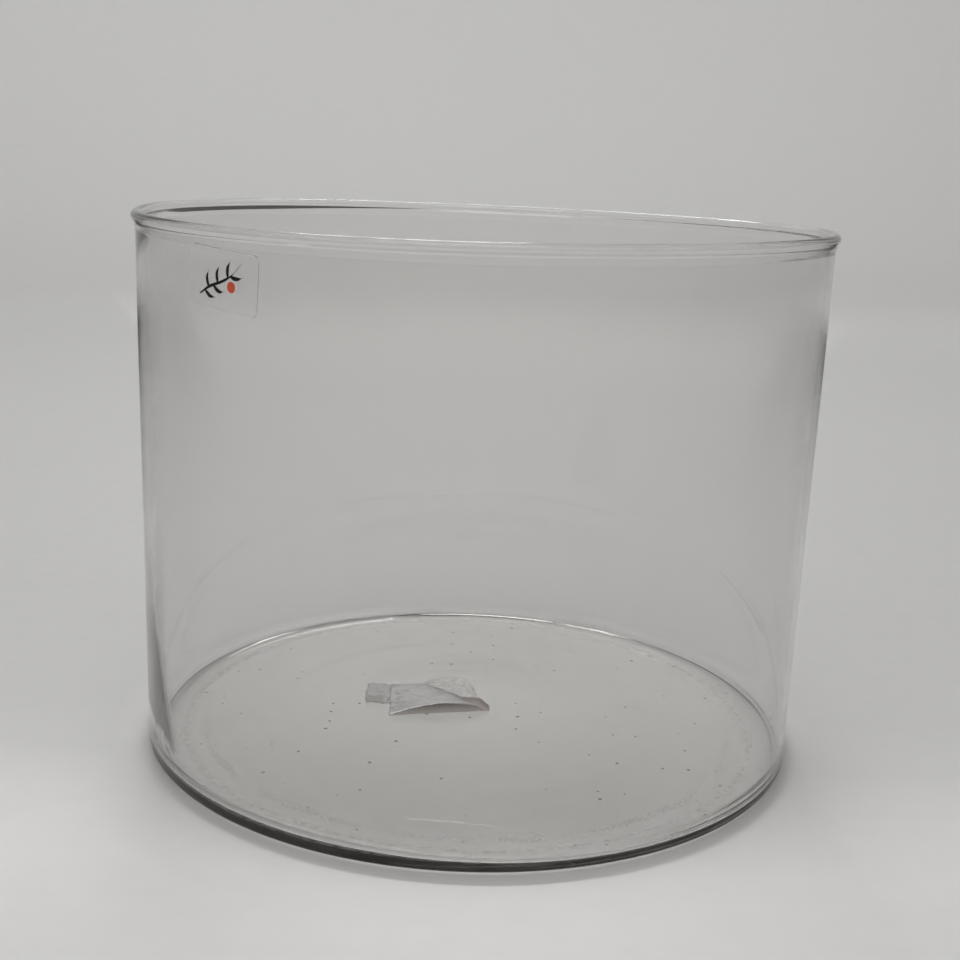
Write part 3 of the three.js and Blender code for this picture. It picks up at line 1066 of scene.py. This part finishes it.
def sticker_material():
    nodes = Nodes("paper")
    place = nodes.object_place()
    x, y, z = nodes.separate(place)
    cloud = nodes.noise(place, 150.0, 5.0, 0.6, 0.8)
    colour = nodes.ramp(cloud, (0.32, (0.46, 0.45, 0.455)), (0.66, (0.625, 0.615, 0.625)))
    # dark flecks at the left, where the surface is torn
    tear = nodes.band(nodes.noise(place, 420.0, 4.0, 0.6), 0.53, 0.6)
    tear = nodes.times(tear, nodes.band(x, -20 * MM, -28 * MM))
    colour = nodes.mixed(nodes.times(tear, 0.6), colour, (0.3, 0.29, 0.29))
    # the white core along the torn front edge
    inward = nodes.beside(x, y, MAIN_FRONT[0], MAIN_FRONT[-1])
    wander = nodes.times(nodes.noise(place, 700.0, 3.0), 1.2)
    edge = nodes.band(nodes.minus(inward, wander), 1.2, 0.3)
    colour = nodes.mixed(edge, colour, (0.88, 0.87, 0.86))
    # painted shade along the crease at the back, under the curled edge
    fold = nodes.beside(x, y, MAIN_BACK[4], MAIN_BACK[2])
    crease_shade = nodes.times(nodes.band(fold, 1.5, 0.3), nodes.band(x, -23 * MM, -17 * MM))
    colour = nodes.mixed(nodes.times(crease_shade, 0.75), colour, (0.20, 0.19, 0.19))
    # the brown right end
    tail = nodes.times(nodes.band(x, -5 * MM, 2 * MM), 0.8)
    colour = nodes.mixed(tail, colour, (0.36, 0.30, 0.29))
    # painted shade on the flap that lies on the floor under the arch, darker further in
    low = nodes.times(nodes.band(inward, 14.0, 11.0), nodes.band(z, 5.62 * MM, 5.5 * MM))
    hollow_shade = nodes.mixed(nodes.band(inward, 0.3, 8.0), (0.36, 0.325, 0.305), (0.10, 0.09, 0.083))
    colour = nodes.mixed(low, colour, hollow_shade)
    paper_surface(nodes, place, colour, 0.12 * MM)
    return nodes.material


def scrap_material():
    nodes = Nodes("aged_paper_scrap")
    place = nodes.object_place()
    x, y, _ = nodes.separate(place)
    cloud = nodes.noise(place, 210.0, 5.0, 0.65, 0.8)
    colour = nodes.ramp(cloud, (0.3, (0.43, 0.43, 0.425)), (0.7, (0.55, 0.55, 0.545)))
    wander = nodes.times(nodes.minus(nodes.noise(place, 350.0, 4.0), 0.5), 5.0)
    front = nodes.plus(nodes.maths("DIVIDE", y, MM), wander)
    # darker towards the front left
    front_left_dark = nodes.times(nodes.band(front, 7.5, 6.5), nodes.band(x, -33.5 * MM, -35 * MM))
    colour = nodes.mixed(front_left_dark, colour, (0.39, 0.385, 0.355))
    rim = nodes.times(nodes.band(front, 6.5, 7.3), nodes.band(front, 9.5, 8.2))
    colour = nodes.mixed(nodes.times(rim, 0.5), colour, (0.6, 0.6, 0.6))
    paper_surface(nodes, place, colour, 0.15 * MM)
    return nodes.material


def fibre_material():
    nodes = Nodes("aged_paper_fibres")
    place = nodes.object_place()
    holes = nodes.noise(place, 330.0, 6.0, 0.7, 1.4)
    colour = nodes.ramp(
        holes,
        (0.36, (0.45, 0.45, 0.445)),
        (0.46, (0.62, 0.62, 0.61)),
        (0.62, (0.76, 0.76, 0.74)),
    )
    paper_surface(nodes, place, colour, 0.2 * MM)
    return nodes.material


def make_sticker():
    noise.seed_set(TEAR_SEED)
    main = joined(
        "sticker_main",
        [
            scrap(MAIN_FRONT, MAIN_BACK, 110, 60, main_lift, 0.55, 2.3),
            # the flap, a paper layer on the floor under the arch, coloured with painted shade
            scrap(MAIN_FRONT, FLAP_BACK, 60, 14, flat_lift, 0.2, 4.9, 0.06 * MM),
        ],
    )
    add_material(main, sticker_material())
    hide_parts("torn_sticker")
    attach(main, "root")
    left = joined("sticker_left", [scrap(SCRAP_FRONT, SCRAP_BACK, 36, 60, flat_lift, 1.5, 11.2)])
    add_material(left, scrap_material())
    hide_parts("torn_sticker_left_scrap")
    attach(left, "root")
    patch = [scrap(PATCH_FRONT, PATCH_BACK, 60, 40, patch_lift, 1.1, 17.7)]
    patch += fibres(PATCH_FRONT, PATCH_BACK, 70, 3.5)
    fibre_patch = joined("sticker_fibres", patch)
    add_material(fibre_patch, fibre_material())
    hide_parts("torn_sticker_fibre_patch")
    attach(fibre_patch, "root")
    for piece in (main, left, fibre_patch):
        piece.visible_shadow = False  # thin paper lets most of the light through
        # the paper casts no shade on the floor; the shade under the arch is painted into its colour
        piece.visible_diffuse = False


# ---- build ----

make_camera()
make_studio()
make_glass()
make_film()
make_print()
make_sticker()

# light runs round inside the base and darkens its front edge only when it can bounce many times
scene = bpy.context.scene
scene.cycles.max_bounces = 64
scene.cycles.transmission_bounces = 64
scene.cycles.glossy_bounces = 64
scene.cycles.transparent_max_bounces = 32
scene.cycles.diffuse_bounces = 4
scene.cycles.caustics_reflective = True
scene.cycles.caustics_refractive = True
scene.cycles.use_denoising = True
scene.cycles.sample_clamp_indirect = 6.0
scene.view_settings.view_transform = "Standard"
